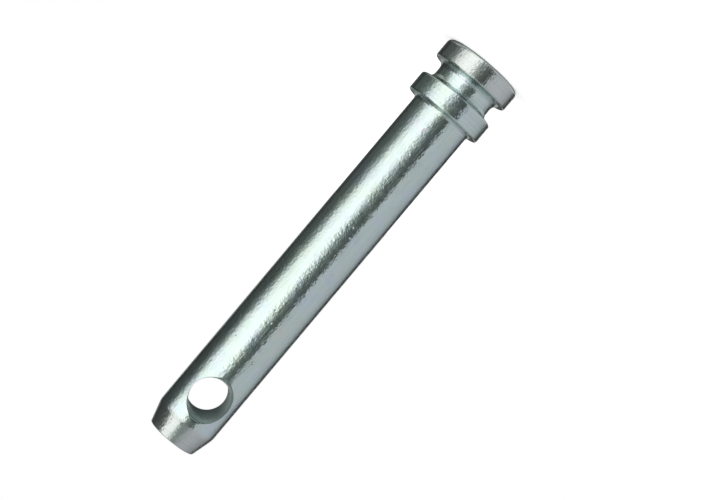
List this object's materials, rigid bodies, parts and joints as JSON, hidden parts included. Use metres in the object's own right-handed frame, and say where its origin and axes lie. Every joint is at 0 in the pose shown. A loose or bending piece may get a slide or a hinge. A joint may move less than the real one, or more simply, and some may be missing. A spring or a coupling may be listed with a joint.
{
  "type": "top link pin",
  "caption": "Turned steel pin with a round head, a ring groove behind it, a collar, a long plain shaft, a tapered nose and a cross hole for a linch pin.",
  "frame": {"origin": "centre of the head's end face, which the pin stands on", "axes": "+Z along the pin's axis, from the head to the nose; the cross hole runs along Y"},
  "size_m": [0.0252, 0.025, 0.1389],
  "materials": {
    "zinc_plated_steel": "bright zinc plating on turned steel"
  },
  "bodies": {
    "root": {"link_pin": "zinc_plated_steel"}
  },
  "joints": []
}
